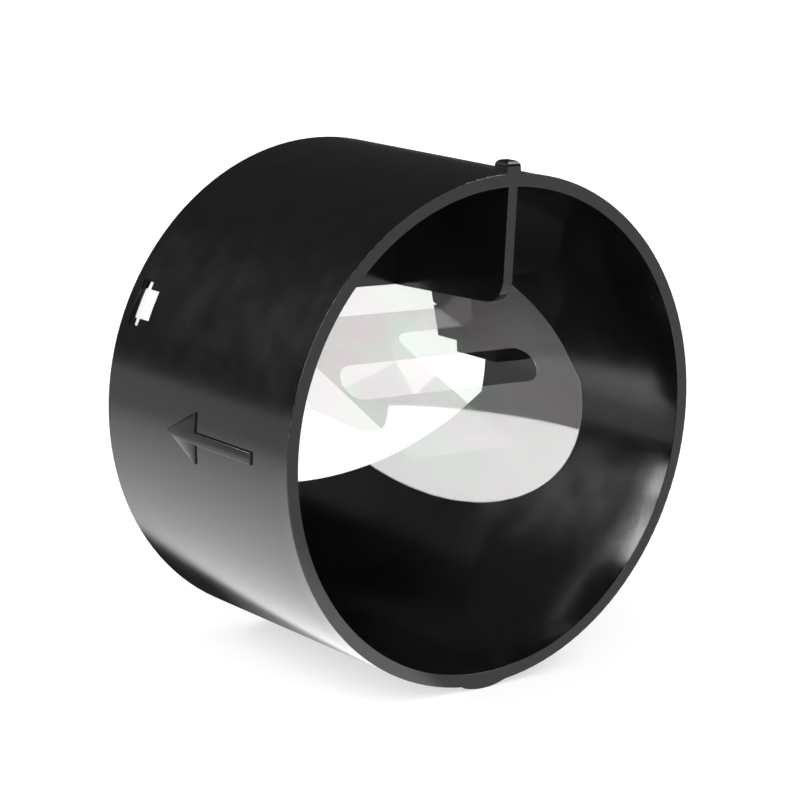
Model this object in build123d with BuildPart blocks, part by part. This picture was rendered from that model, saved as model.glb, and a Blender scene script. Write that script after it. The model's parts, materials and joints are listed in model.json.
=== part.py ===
from build123d import *
import os
from math import cos, radians, sin, tan

# Airflow regulator for a 100 mm duct: a moulded tube insert that carries a film flap and a film spring.
# Millimetres. +Z is up, the fin hangs from the top of the tube, and the air enters from -Y.
# The origin is on the tube's axis, in the plane where the duct's end meets the stops.

# Tube
tube_od = 99.0
tube_wall = 2.75
tube_length = 59.0
mouth_flare = 0.3
mouth_flare_length = 9.0
rim_band_flare = 0.08
rim_round = 0.12

# Stops on the front rim: a domed nub at the top and a low curved lug at the bottom
stop_depth = 3.7
nub_width = 3.8
nub_crown_width = 3.0
nub_height = 2.45
nub_round = 1.1
lug_height = 0.75
lug_curve_radius = 16.0
lug_crest_x = -0.4
lug_end_x = -4.9

# Fin and bulkhead that carry the flap
fin_thickness = 2.15
fin_foot_z = 24.9
fin_toe_round = 5.0
bulkhead_depth = 32.0
bulkhead_edge_z = 23.7
bulkhead_thickness = 2.0

# Film flap, cut from flat film and hung from the bulkhead's lower edge
film_thickness = 0.25
flap_angle = 43.0
flap_width = 66.8
flap_shoulder_round = 27.5
flap_margin = 8.5
flap_lobe_radius = 35.5
flap_lobe_drop = 14.0
slot_length = 48.5
slot_height = 7.9
slot_drop = 20.8

# Seat and staked pegs that hold the flap's top margin
seat_width = 40.0
seat_length = 10.0
seat_thickness = 2.2
peg_diameter = 3.0
peg_pitch = 12.0
peg_count = 3
peg_rise = 4.8
peg_hole_clearance = 0.1
peg_head_diameter = 5.0
peg_head_height = 1.0
peg_head_taper = 35.0

# Rear weir that the flap closes against in a storm
weir_edge_z = -22.1
weir_edge_radius = 80.0
weir_thickness = 2.0

# Side pockets at the rear, which hold the ends of the spring
pocket_depth = 13.0
pocket_wall = 1.8
pocket_skin = 1.1
pocket_roof_z = 28.0
pocket_floor_z = 6.0
pocket_floor_fall = 0.8
pocket_step_height = 3.2
cheek_top_x = 27.5
cheek_foot_x = 33.2
step_top_x = 38.3
step_foot_x = 38.7

# Windows through the tube wall, one into each pocket
window_angle = 23.1
window_from_rear = 5.7
window_length = 6.3
window_height = 9.4
window_recess = 0.55
window_corner = 0.4
tab_window_length = 5.9
tab_window_height = 6.0
vent_slit_width = 1.9
vent_slit_height = 9.0
vent_slit_setback = 1.4

# Film spring: a strip that rises to the rear, with a cross-bar whose ends turn up behind the windows
spring_angle = 20.6
spring_tip_depth = 10.0
spring_tip_z = -5.5
strip_width = 25.0
strip_root_round = 5.0
crossbar_setback = 2.0
crossbar_length = 7.5
tab_rise_angle = 26.5
film_clearance = 0.2

# Worked out from the sizes above
tube_radius = tube_od / 2
bore_radius = tube_radius - tube_wall
wall_middle = tube_radius - tube_wall / 2
pocket_radius = tube_radius - pocket_skin
front_y = -stop_depth
rear_y = front_y + tube_length
bulkhead_y = front_y + bulkhead_depth
flap_tilt = radians(flap_angle)
spring_tilt = radians(spring_angle)


def cross_section(depth):
    """Plane across the tube at a depth behind the front rim, with +X to the right and +Z up."""
    return Plane.XZ.offset(stop_depth - depth)


# The flap's plane: local Y climbs the film from the bulkhead's edge, local Z points up and to the front.
flap_plane = Plane(
    origin=(0, bulkhead_y, bulkhead_edge_z),
    x_dir=(1, 0, 0),
    z_dir=(0, -cos(flap_tilt), sin(flap_tilt)),
)

# The spring's plane: local Y climbs the strip from its free tip to the rear.
spring_plane = Plane(
    origin=(0, front_y + spring_tip_depth, spring_tip_z),
    x_dir=(1, 0, 0),
    z_dir=(0, -sin(spring_tilt), cos(spring_tilt)),
)
spring_length = (tube_length - crossbar_setback - spring_tip_depth) / cos(spring_tilt)
crossbar_front = spring_length - crossbar_length

# Outline of the right-hand pocket, carried past the tube wall and trimmed to it later.
pocket_outline = [
    (tube_od, pocket_roof_z),
    (cheek_top_x, pocket_roof_z),
    (cheek_foot_x, pocket_floor_z),
    (step_top_x, pocket_floor_z - pocket_floor_fall),
    (step_foot_x, pocket_floor_z - pocket_floor_fall - pocket_step_height),
    (tube_od, pocket_floor_z - pocket_floor_fall - pocket_step_height),
]

# Bulkhead: a plate across the top of the bore. Its lower edge has the flap's slope, with the seat behind it.
with BuildPart() as bulkhead:
    with BuildSketch(Plane.YZ):
        with BuildLine():
            Polyline(
                (bulkhead_y, tube_radius),
                (bulkhead_y, bulkhead_edge_z),
                (bulkhead_y + bulkhead_thickness, bulkhead_edge_z + bulkhead_thickness / tan(flap_tilt)),
                (bulkhead_y + bulkhead_thickness, tube_radius),
                close=True,
            )
        make_face()
    extrude(amount=tube_radius, both=True)
    with BuildSketch(cross_section(0)):
        Circle(wall_middle)
    extrude(amount=-tube_length, mode=Mode.INTERSECT)
    seat_start = seat_thickness / tan(flap_tilt)
    with BuildSketch(flap_plane):
        with Locations((0, seat_start)):
            Rectangle(seat_width, seat_length - seat_start, align=(Align.CENTER, Align.MIN))
    extrude(amount=seat_thickness)
    with BuildSketch(flap_plane.offset(seat_thickness / 2)):
        with Locations((0, peg_rise)):
            with GridLocations(peg_pitch, 0, peg_count, 1):
                Circle(peg_diameter / 2)
    extrude(amount=-(seat_thickness / 2 + film_thickness + peg_head_height / 2))
    with BuildSketch(flap_plane.offset(-film_thickness)):
        with Locations((0, peg_rise)):
            with GridLocations(peg_pitch, 0, peg_count, 1):
                Circle(peg_head_diameter / 2)
    extrude(amount=-peg_head_height, taper=peg_head_taper)

# Tube body: one moulding. The bore's mouth and the rim band between the stops flare a little to the front.
with BuildPart() as tube:
    with BuildSketch(Plane.XY):
        with BuildLine():
            mouth = TangentArc(
                (bore_radius, front_y + mouth_flare_length),
                (bore_radius + mouth_flare, front_y),
                tangent=(0, -1),
            )
            Polyline(
                mouth @ 1,
                (tube_radius + rim_band_flare, front_y),
                (tube_radius, 0),
                (tube_radius, rear_y),
                (bore_radius, rear_y),
                mouth @ 0,
            )
        make_face()
    revolve(axis=Axis.Y)
    rims = tube.edges().filter_by(GeomType.CIRCLE).group_by(Axis.Y)
    fillet(rims[0] + rims[-1], rim_round)

    # Fin: flush with the front rim, a little lower at the bulkhead than at its rounded toe.
    with BuildSketch(Plane.YZ):
        with BuildLine():
            Polyline(
                (front_y, wall_middle),
                (front_y, fin_foot_z),
                (bulkhead_y, bulkhead_edge_z),
                (bulkhead_y, wall_middle),
                close=True,
            )
        make_face()
        toe = vertices().group_by(Axis.X)[0].sort_by(Axis.Y)[0]
        fillet(toe, fin_toe_round)
    extrude(amount=fin_thickness / 2, both=True)
    add(bulkhead.part)

    # Weir: the crescent at the foot of the rear opening.
    with BuildSketch(cross_section(tube_length - weir_thickness)):
        Circle(wall_middle)
        with Locations((0, weir_edge_z + weir_edge_radius)):
            Circle(weir_edge_radius, mode=Mode.SUBTRACT)
    extrude(amount=-weir_thickness)

    # Side pockets, open to the rear. Their hollows reach into the tube's wall and leave a thin skin outside.
    with BuildSketch(cross_section(tube_length - pocket_depth)):
        with BuildLine():
            Polyline(*pocket_outline, close=True)
        make_face()
        Circle(wall_middle, mode=Mode.INTERSECT)
        mirror(about=Plane.YZ)
    extrude(amount=-pocket_depth)
    with BuildSketch(cross_section(tube_length - pocket_depth + pocket_wall)):
        with BuildLine():
            Polyline(*pocket_outline, close=True)
        make_face()
        offset(amount=-pocket_wall)
        Circle(pocket_radius, mode=Mode.INTERSECT)
        mirror(about=Plane.YZ)
    extrude(amount=-pocket_depth, mode=Mode.SUBTRACT)

    # Slits through the pockets' cheeks, which the spring's cross-bar slides into from the rear.
    with BuildSketch(spring_plane.offset(-film_clearance)):
        with Locations((0, crossbar_front - film_clearance)):
            Rectangle(2 * step_foot_x, tube_length, align=(Align.CENTER, Align.MIN))
    extrude(amount=film_thickness + 2 * film_clearance, mode=Mode.SUBTRACT)

    # Windows: a shallow recess, the opening for the spring's tab and a narrow slit above and below it.
    for side in (1, -1):
        outward = (side * cos(radians(window_angle)), 0, sin(radians(window_angle)))
        window_plane = Plane(origin=(0, rear_y - window_from_rear, 0), x_dir=(0, 1, 0), z_dir=outward)
        with BuildSketch(window_plane.offset(tube_radius - window_recess)):
            RectangleRounded(window_length, window_height, window_corner)
        extrude(amount=tube_wall, mode=Mode.SUBTRACT)
        with BuildSketch(window_plane.offset(bore_radius - tube_wall)):
            Rectangle(tab_window_length, tab_window_height)
            with Locations((vent_slit_setback, 0)):
                Rectangle(vent_slit_width, vent_slit_height)
        extrude(amount=2 * tube_wall, mode=Mode.SUBTRACT)

    # Stops on the front rim.
    with BuildSketch(cross_section(0)):
        with BuildLine():
            Polyline(
                (-nub_width / 2, wall_middle),
                (nub_width / 2, wall_middle),
                (nub_crown_width / 2, tube_radius + nub_height),
                (-nub_crown_width / 2, tube_radius + nub_height),
                close=True,
            )
        make_face()
    extrude(amount=-stop_depth)
    crown = tube.faces().sort_by(Axis.Z)[-1]
    fillet(crown.edges(), nub_round)
    with BuildSketch(cross_section(0)):
        with Locations((lug_crest_x, lug_curve_radius - tube_radius - lug_height)):
            Circle(lug_curve_radius)
        Circle(wall_middle, mode=Mode.SUBTRACT)
        with Locations((lug_end_x, 0)):
            Rectangle(tube_od, 2 * tube_od, align=(Align.MAX, Align.CENTER), mode=Mode.SUBTRACT)
    extrude(amount=-stop_depth)

tube.part.label = "tube_body"

# Film flap: a rounded tongue of film with one long slot, hung on the pegs.
with BuildPart() as flap:
    with BuildSketch(flap_plane):
        with Locations((0, flap_margin)):
            RectangleRounded(
                flap_width,
                3 * flap_lobe_radius,
                min(flap_shoulder_round, 0.98 * flap_width / 2),
                align=(Align.CENTER, Align.MAX),
            )
        with Locations((0, -flap_lobe_drop)):
            Circle(flap_lobe_radius, mode=Mode.INTERSECT)
        with Locations((0, -slot_drop)):
            SlotOverall(slot_length, slot_height, mode=Mode.SUBTRACT)
        with Locations((0, peg_rise)):
            with GridLocations(peg_pitch, 0, peg_count, 1):
                Circle(peg_diameter / 2 + peg_hole_clearance, mode=Mode.SUBTRACT)
    extrude(amount=-film_thickness)
flap.part.label = "film_flap"

# Film spring: the turned-up tabs follow the bore and stop at the strip's plane, then the strip joins them.
with BuildPart() as spring:
    tab_radius = pocket_radius - film_clearance
    with BuildSketch(cross_section(tube_length - crossbar_setback)):
        Circle(tab_radius)
        Circle(tab_radius - film_thickness, mode=Mode.SUBTRACT)
        Rectangle(tube_od, tab_radius * sin(radians(tab_rise_angle)), align=(Align.CENTER, Align.MIN),
                  mode=Mode.INTERSECT)
    extrude(amount=crossbar_length * cos(spring_tilt))
    split(bisect_by=spring_plane, keep=Keep.TOP)
    with BuildSketch(spring_plane) as strip:
        Rectangle(strip_width, spring_length, align=(Align.CENTER, Align.MIN))
        with Locations((0, crossbar_front)):
            Rectangle(tube_od, crossbar_length, align=(Align.CENTER, Align.MIN))
        roots = strip.vertices().filter_by_position(Axis.X, -strip_width, strip_width)
        fillet(roots.group_by(Axis.Y)[1], strip_root_round)
    extrude(amount=film_thickness)
    with BuildSketch(cross_section(0)):
        Circle(tab_radius)
    extrude(amount=-2 * tube_length, mode=Mode.INTERSECT)
spring.part.label = "film_spring"

os.makedirs("parts", exist_ok=True)
export_step(tube.part, "parts/tube_body.step")
export_step(flap.part, "parts/film_flap.step")
export_step(spring.part, "parts/film_spring.step")
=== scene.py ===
import json
from math import cos, radians, sin

import bmesh
import bpy
from mathutils import Matrix, Vector


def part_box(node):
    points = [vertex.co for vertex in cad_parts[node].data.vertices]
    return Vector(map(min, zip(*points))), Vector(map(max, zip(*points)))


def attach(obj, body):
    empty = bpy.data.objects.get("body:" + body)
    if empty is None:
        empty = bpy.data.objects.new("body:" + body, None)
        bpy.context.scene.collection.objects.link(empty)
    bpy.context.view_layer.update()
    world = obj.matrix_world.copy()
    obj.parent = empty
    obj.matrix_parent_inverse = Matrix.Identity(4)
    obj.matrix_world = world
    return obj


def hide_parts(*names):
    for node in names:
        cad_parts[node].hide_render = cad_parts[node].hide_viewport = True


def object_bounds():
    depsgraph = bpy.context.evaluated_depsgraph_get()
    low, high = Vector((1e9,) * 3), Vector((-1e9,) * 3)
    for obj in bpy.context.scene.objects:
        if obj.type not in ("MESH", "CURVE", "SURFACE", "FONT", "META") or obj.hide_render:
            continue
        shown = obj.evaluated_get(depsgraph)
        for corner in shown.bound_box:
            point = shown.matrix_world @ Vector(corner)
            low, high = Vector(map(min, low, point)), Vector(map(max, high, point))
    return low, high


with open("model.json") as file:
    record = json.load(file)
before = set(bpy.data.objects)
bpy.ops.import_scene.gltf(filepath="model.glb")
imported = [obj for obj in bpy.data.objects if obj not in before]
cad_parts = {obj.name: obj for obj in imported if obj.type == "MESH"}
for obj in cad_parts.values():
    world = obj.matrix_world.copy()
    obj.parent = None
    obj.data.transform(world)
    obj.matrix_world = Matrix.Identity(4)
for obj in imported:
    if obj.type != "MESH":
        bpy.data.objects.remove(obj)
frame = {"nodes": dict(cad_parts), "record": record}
cad_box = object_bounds()

# Sizes are in metres, and those written in millimetres go through MM.
MM = 0.001

# The tube, as the frame gives it
SPIGOT_RADIUS = frame["record"]["mounts"][0]["dims"]["r_mm"] * MM
FRONT_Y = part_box("tube_body")[0][1]
FLOOR_Z = cad_box[0][2]

# Merged copies of the solids: corners this close are one, faces that turn by less than the flat angle
# are one, and edges that turn by less than the smooth angle are shaded smooth.
MERGE_DISTANCE = 0.002 * MM
FLAT_ANGLE = radians(0.3)
SMOOTH_ANGLE = radians(35)

# Flow arrow, raised on the left side of the tube, with its root sunk into the wall
ARROW_LENGTH = 27 * MM
ARROW_SHAFT_WIDTH = 2.4 * MM
ARROW_HEAD_WIDTH = 10 * MM
ARROW_HEAD_LENGTH = 9 * MM
ARROW_HEIGHT = 0.45 * MM
ARROW_ROOT = 0.25 * MM
ARROW_EDGE_ROUND = 0.2 * MM
ARROW_FROM_RIM = 11 * MM
ARROW_ANGLE = radians(182)
ARROW_CUTS = 8

# Surface patterns. The tool's grain is too fine to show, so it is drawn as coarse as it needs to be.
MOTTLE_SIZE = 6 * MM
GRAIN_SIZE = 0.5 * MM
GRAIN_DEPTH = 0.01 * MM
HAZE_SIZE = 12 * MM

# Camera, at the photograph's viewing angle
CAMERA_PLACE = Vector((-323.7, -371.0, 109.7)) * MM
CAMERA_TURN = radians(39.167)
CAMERA_DOWN = radians(12.006)
CAMERA_ROLL = radians(2.874)
CAMERA_LENS = 119.3
CAMERA_SENSOR = 36

# The floor as it is seen: its glow grows with the distance from the object.
FLOOR_SIZE = 6.0
GLOW_NEAR = 0.62
GLOW_NEAR_REACH = 150 * MM
GLOW_FAR = 0.85
GLOW_FAR_REACH = 600 * MM

# The floor as the black plastic mirrors it: a painted reflection, seen only by rays of gloss.
# A slanting line parts its left from its right. The left is bright near the object, which paints a sheen
# on the tube's lower left, and the right is pale in front and dim behind, which paints shade in its bore.
SIDE_SLANT = (1, 0.35, 0)
SIDE_LEFT = -13 * MM
SIDE_RIGHT = -8 * MM
LEFT_NEAR = 2.2
LEFT_NEAR_REACH = 80 * MM
LEFT_FAR = 0.7
LEFT_FAR_REACH = 300 * MM
RIGHT_FRONT = 0.95
RIGHT_FRONT_Y = 0.0
RIGHT_BEHIND = 0.03
RIGHT_BEHIND_Y = 60 * MM

# The room: white where it is seen, a painted dim reflection for rays of gloss, darker from the horizon up,
# and a plain level where it lights. The horizon's fade is the height of a direction of length 1.
WHITE = 1.0
HORIZON = 0.12
HORIZON_FADE = 0.06
DIM_ROOM = 0.04
ROOM_LIGHT = 0.5


def linear(hex_colour):
    """Linear RGBA of an sRGB hex colour."""
    channels = [int(hex_colour[i:i + 2], 16) / 255 for i in (1, 3, 5)]
    return [c / 12.92 if c <= 0.04045 else ((c + 0.055) / 1.055) ** 2.4 for c in channels] + [1]


def add_node(tree, kind, inputs=None, **settings):
    """Adds a node: settings are its properties, and an input is a constant or a socket to link from."""
    node = tree.nodes.new(kind)
    for name, value in settings.items():
        setattr(node, name, value)
    for name, value in (inputs or {}).items():
        if isinstance(value, bpy.types.NodeSocket):
            tree.links.new(value, node.inputs[name])
        else:
            node.inputs[name].default_value = value
    return node


def new_material(name):
    """An empty node material: its tree and its output node."""
    material = bpy.data.materials.new(name)
    material.use_nodes = True
    material.node_tree.nodes.clear()
    output = add_node(material.node_tree, "ShaderNodeOutputMaterial")
    return material, material.node_tree, output


def moulded_abs():
    """ABS, injection moulded in a fine-eroded tool: black, satin, with a barely visible grain and mottle."""
    material, tree, output = new_material("abs_moulded_satin_black")
    place = add_node(tree, "ShaderNodeTexCoord").outputs["Object"]
    mottle = add_node(tree, "ShaderNodeTexNoise", {"Vector": place, "Scale": 1 / MOTTLE_SIZE, "Detail": 3})
    grain = add_node(tree, "ShaderNodeTexNoise", {"Vector": place, "Scale": 1 / GRAIN_SIZE, "Detail": 2})
    colour = add_node(
        tree, "ShaderNodeMix",
        {"Factor": mottle.outputs["Fac"], "A": linear("#0C0C0D"), "B": linear("#121213")},
        data_type="RGBA",
    )
    roughness = add_node(
        tree, "ShaderNodeMapRange",
        {"Value": mottle.outputs["Fac"], "From Min": 0.3, "From Max": 0.7, "To Min": 0.14, "To Max": 0.18},
    )
    bump = add_node(
        tree, "ShaderNodeBump",
        {"Height": grain.outputs["Fac"], "Strength": 0.15, "Distance": GRAIN_DEPTH},
    )
    shader = add_node(
        tree, "ShaderNodeBsdfPrincipled",
        {
            "Base Color": colour.outputs["Result"],
            "Roughness": roughness.outputs["Result"],
            "IOR": 1.53,
            "Normal": bump.outputs["Normal"],
        },
    )
    tree.links.new(shader.outputs["BSDF"], output.inputs["Surface"])
    return material


def polyester_film():
    """PET film, cast and stretched, cut flat: clear and glossy on both faces, with a trace of haze and tint.

    Thin film doesn't shift what is seen through it, so its body has no refraction, and a coat gives it
    the shine of its faces.
    """
    material, tree, output = new_material("pet_film_cast_clear")
    place = add_node(tree, "ShaderNodeTexCoord").outputs["Object"]
    haze = add_node(tree, "ShaderNodeTexNoise", {"Vector": place, "Scale": 1 / HAZE_SIZE, "Detail": 2})
    roughness = add_node(
        tree, "ShaderNodeMapRange",
        {"Value": haze.outputs["Fac"], "From Min": 0.3, "From Max": 0.7, "To Min": 0.02, "To Max": 0.05},
    )
    patches = add_node(
        tree, "ShaderNodeMapRange", {"Value": haze.outputs["Fac"], "From Min": 0.35, "From Max": 0.65},
    )
    tint = add_node(
        tree, "ShaderNodeMix",
        {"Factor": patches.outputs["Result"], "A": linear("#F4ECEF"), "B": linear("#EDF4EE")},
        data_type="RGBA",
    )
    shader = add_node(
        tree, "ShaderNodeBsdfPrincipled",
        {
            "Base Color": tint.outputs["Result"],
            "Roughness": roughness.outputs["Result"],
            "IOR": 1.0,
            "Transmission Weight": 0.91,
            "Coat Weight": 1.0,
            "Coat Roughness": roughness.outputs["Result"],
            "Coat IOR": 1.58,
        },
    )
    tree.links.new(shader.outputs["BSDF"], output.inputs["Surface"])
    return material


def split_rays(tree, sight, gloss, rest):
    """One value for rays of sight, through the film too, one for rays of gloss and one for the rest.

    A ray through the film can count as gloss as well, so sight goes before gloss.
    """
    path = add_node(tree, "ShaderNodeLightPath").outputs
    seen = add_node(
        tree, "ShaderNodeMath",
        {0: path["Is Camera Ray"], 1: path["Is Transmission Ray"]},
        operation="MAXIMUM",
    )
    lit = add_node(tree, "ShaderNodeMix", {"Factor": path["Is Glossy Ray"], "A": rest, "B": gloss})
    return add_node(
        tree, "ShaderNodeMix", {"Factor": seen.outputs[0], "A": lit.outputs["Result"], "B": sight},
    ).outputs["Result"]


def paper_floor():
    """White seamless paper, matt: it takes the shadow and glows a little, so that it ends in plain white.

    Rays of gloss see a painted glow instead, which gives the tube its pale lower left and its dark bore.
    """
    material, tree, output = new_material("paper_seamless_white_painted_reflection")
    place = add_node(tree, "ShaderNodeTexCoord").outputs["Object"]
    reach = add_node(tree, "ShaderNodeVectorMath", {0: place}, operation="LENGTH").outputs["Value"]
    depth = add_node(tree, "ShaderNodeSeparateXYZ", {"Vector": place}).outputs["Y"]
    slant = add_node(tree, "ShaderNodeVectorMath", {0: place, 1: SIDE_SLANT}, operation="DOT_PRODUCT")
    plain = add_node(
        tree, "ShaderNodeMapRange",
        {
            "Value": reach,
            "From Min": GLOW_NEAR_REACH,
            "From Max": GLOW_FAR_REACH,
            "To Min": GLOW_NEAR,
            "To Max": GLOW_FAR,
        },
        interpolation_type="SMOOTHSTEP",
    )
    left = add_node(
        tree, "ShaderNodeMapRange",
        {
            "Value": reach,
            "From Min": LEFT_NEAR_REACH,
            "From Max": LEFT_FAR_REACH,
            "To Min": LEFT_NEAR,
            "To Max": LEFT_FAR,
        },
    )
    right = add_node(
        tree, "ShaderNodeMapRange",
        {
            "Value": depth,
            "From Min": RIGHT_FRONT_Y,
            "From Max": RIGHT_BEHIND_Y,
            "To Min": RIGHT_FRONT,
            "To Max": RIGHT_BEHIND,
        },
    )
    side = add_node(
        tree, "ShaderNodeMapRange",
        {"Value": slant.outputs["Value"], "From Min": SIDE_LEFT, "From Max": SIDE_RIGHT},
        interpolation_type="SMOOTHSTEP",
    )
    # Painted reflection: what rays of gloss see of the floor, bright at the left, pale in front and dim
    # behind.
    painted_reflection = add_node(
        tree, "ShaderNodeMix",
        {"Factor": side.outputs["Result"], "A": left.outputs["Result"], "B": right.outputs["Result"]},
    )
    glow = split_rays(tree, plain.outputs["Result"], painted_reflection.outputs["Result"], 0.0)
    grey = linear("#AEAEAE")[0]
    # Rays of gloss see none of the paper's lit shade and shadow, only the painted reflection.
    paper = add_node(tree, "ShaderNodeBsdfDiffuse", {"Color": split_rays(tree, grey, 0.0, grey)})
    light = add_node(tree, "ShaderNodeEmission", {"Color": linear("#FFFFFF"), "Strength": glow})
    both = add_node(tree, "ShaderNodeAddShader", {0: paper.outputs["BSDF"], 1: light.outputs["Emission"]})
    tree.links.new(both.outputs[0], output.inputs["Surface"])
    return material


def finish_piece(name, mesh, material):
    """Turns a bmesh into an object with one material, smooth but for its sharp edges."""
    for face in mesh.faces:
        face.smooth = True
    for edge in mesh.edges:
        edge.smooth = len(edge.link_faces) == 2 and edge.calc_face_angle() < SMOOTH_ANGLE
    data = bpy.data.meshes.new(name)
    mesh.to_mesh(data)
    mesh.free()
    data.materials.append(material)
    piece = bpy.data.objects.new(name, data)
    bpy.context.scene.collection.objects.link(piece)
    return piece


def moulded_copy(node, material):
    """A merged copy of a CAD node with smooth shading led by its large faces, which stands for it."""
    source = frame["nodes"][node]
    mesh = bmesh.new()
    mesh.from_mesh(source.data)
    bmesh.ops.transform(mesh, matrix=source.matrix_world, verts=mesh.verts)
    bmesh.ops.remove_doubles(mesh, verts=mesh.verts, dist=MERGE_DISTANCE)
    bmesh.ops.dissolve_limit(mesh, angle_limit=FLAT_ANGLE, verts=mesh.verts, edges=mesh.edges)
    piece = finish_piece(node + "_surface", mesh, material)
    shading = piece.modifiers.new("large_faces_lead", "WEIGHTED_NORMAL")
    shading.mode = "FACE_AREA_WITH_ANGLE"
    shading.weight = 100
    shading.keep_sharp = True
    return piece


def flow_arrow(material):
    """A slim raised arrow that shows which way the air flows, bent onto the tube's left side."""
    mesh = bmesh.new()
    head_start = ARROW_LENGTH - ARROW_HEAD_LENGTH
    half = [
        (0, ARROW_SHAFT_WIDTH / 2),
        (head_start, ARROW_SHAFT_WIDTH / 2),
        (head_start, ARROW_HEAD_WIDTH / 2),
        (ARROW_LENGTH, 0),
    ]
    outline = half + [(x, -y) for x, y in reversed(half[:-1])]
    face = mesh.faces.new([mesh.verts.new((x, y, -ARROW_ROOT)) for x, y in outline])
    raised = bmesh.ops.extrude_face_region(mesh, geom=[face])["geom"]
    top = [v for v in raised if isinstance(v, bmesh.types.BMVert)]
    bmesh.ops.translate(mesh, verts=top, vec=(0, 0, ARROW_ROOT + ARROW_HEIGHT))
    bmesh.ops.recalc_face_normals(mesh, faces=mesh.faces)
    rims = [e for e in mesh.edges if all(v.co.z > 0 for v in e.verts)]
    bmesh.ops.bevel(
        mesh, geom=rims, offset=ARROW_EDGE_ROUND, segments=2, profile=0.5, affect="EDGES", material=-1,
    )
    # Cuts along the arrow let it bend with the wall.
    for cut in range(1, ARROW_CUTS):
        place = (cut / ARROW_CUTS - 0.5) * ARROW_HEAD_WIDTH
        everything = mesh.verts[:] + mesh.edges[:] + mesh.faces[:]
        bmesh.ops.bisect_plane(mesh, geom=everything, plane_co=(0, place, 0), plane_no=(0, 1, 0))
    for vert in mesh.verts:
        radius = SPIGOT_RADIUS + vert.co.z
        angle = ARROW_ANGLE + vert.co.y / SPIGOT_RADIUS
        vert.co = (radius * cos(angle), FRONT_Y + ARROW_FROM_RIM + vert.co.x, radius * sin(angle))
    bmesh.ops.recalc_face_normals(mesh, faces=mesh.faces)
    return finish_piece("flow_arrow", mesh, material)


def softbox(name, direction, distance, width, height, power, up=(0, 0, 1)):
    """An area lamp that faces the object from a direction, with its height along up."""
    lamp = bpy.data.lights.new(name, "AREA")
    lamp.shape = "RECTANGLE"
    lamp.size = width
    lamp.size_y = height
    lamp.energy = power
    away = Vector(direction).normalized()
    across = Vector(up).cross(away).normalized()
    facing = Matrix((across, away.cross(across), away)).transposed()
    holder = bpy.data.objects.new(name, lamp)
    holder.matrix_world = Matrix.Translation(away * distance) @ facing.to_4x4()
    bpy.context.scene.collection.objects.link(holder)


def lamps():
    """The key, the tilted strip that draws the bright band inside the rim, and two weak fills."""
    softbox("key_above_right", (0.62, -0.26, 0.74), distance=0.9, width=0.5, height=0.5, power=3.9)
    softbox(
        "strip_rear_left", (-0.70, 0.55, 0.46), distance=1.6, width=0.36, height=1.1, power=29,
        up=(0.55, 0, 0.835),
    )
    softbox("top_rear_right", (0.62, 0.425, 0.653), distance=0.9, width=0.4, height=0.4, power=0.12)
    softbox("fill_front_left", (-0.35, -0.75, 0.56), distance=1.2, width=0.7, height=0.7, power=6)


def studio():
    """The paper floor, the lamps and the room."""
    mesh = bmesh.new()
    bmesh.ops.create_grid(mesh, x_segments=1, y_segments=1, size=FLOOR_SIZE / 2)
    floor = finish_piece("floor", mesh, paper_floor())
    floor.location.z = FLOOR_Z
    lamps()

    world = bpy.data.worlds.new("white_room_painted_dim_in_reflections")
    bpy.context.scene.world = world
    world.use_nodes = True
    tree = world.node_tree
    tree.nodes.clear()
    direction = add_node(tree, "ShaderNodeTexCoord").outputs["Generated"]
    height = add_node(tree, "ShaderNodeSeparateXYZ", {"Vector": direction}).outputs["Z"]
    # Painted dim reflection of the room, for rays of gloss only.
    painted_reflection = add_node(
        tree, "ShaderNodeMapRange",
        {"Value": height, "From Min": 0.0, "From Max": HORIZON_FADE, "To Min": HORIZON, "To Max": DIM_ROOM},
        interpolation_type="SMOOTHSTEP",
    )
    strength = split_rays(tree, WHITE, painted_reflection.outputs["Result"], ROOM_LIGHT)
    surroundings = add_node(
        tree, "ShaderNodeBackground", {"Color": linear("#FFFFFF"), "Strength": strength},
    )
    output = add_node(tree, "ShaderNodeOutputWorld")
    tree.links.new(surroundings.outputs["Background"], output.inputs["Surface"])


def camera():
    """The camera at the photograph's viewing angle."""
    data = bpy.data.cameras.new("camera")
    data.lens = CAMERA_LENS
    data.sensor_width = CAMERA_SENSOR
    turn = Matrix.Rotation(-CAMERA_TURN, 4, "Z")
    tip = Matrix.Rotation(radians(90) - CAMERA_DOWN, 4, "X")
    roll = Matrix.Rotation(CAMERA_ROLL, 4, "Z")
    holder = bpy.data.objects.new("camera", data)
    holder.matrix_world = Matrix.Translation(CAMERA_PLACE) @ turn @ tip @ roll
    bpy.context.scene.collection.objects.link(holder)
    bpy.context.scene.camera = holder


abs_black = moulded_abs()
film_clear = polyester_film()

body = moulded_copy("tube_body", abs_black)
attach(body, "root")
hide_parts("tube_body")

for node in ("film_flap", "film_spring"):
    film = moulded_copy(node, film_clear)
    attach(film, "root")
    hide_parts(node)

arrow = flow_arrow(abs_black)
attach(arrow, "root")

studio()
camera()
bpy.context.scene.view_settings.view_transform = "Standard"
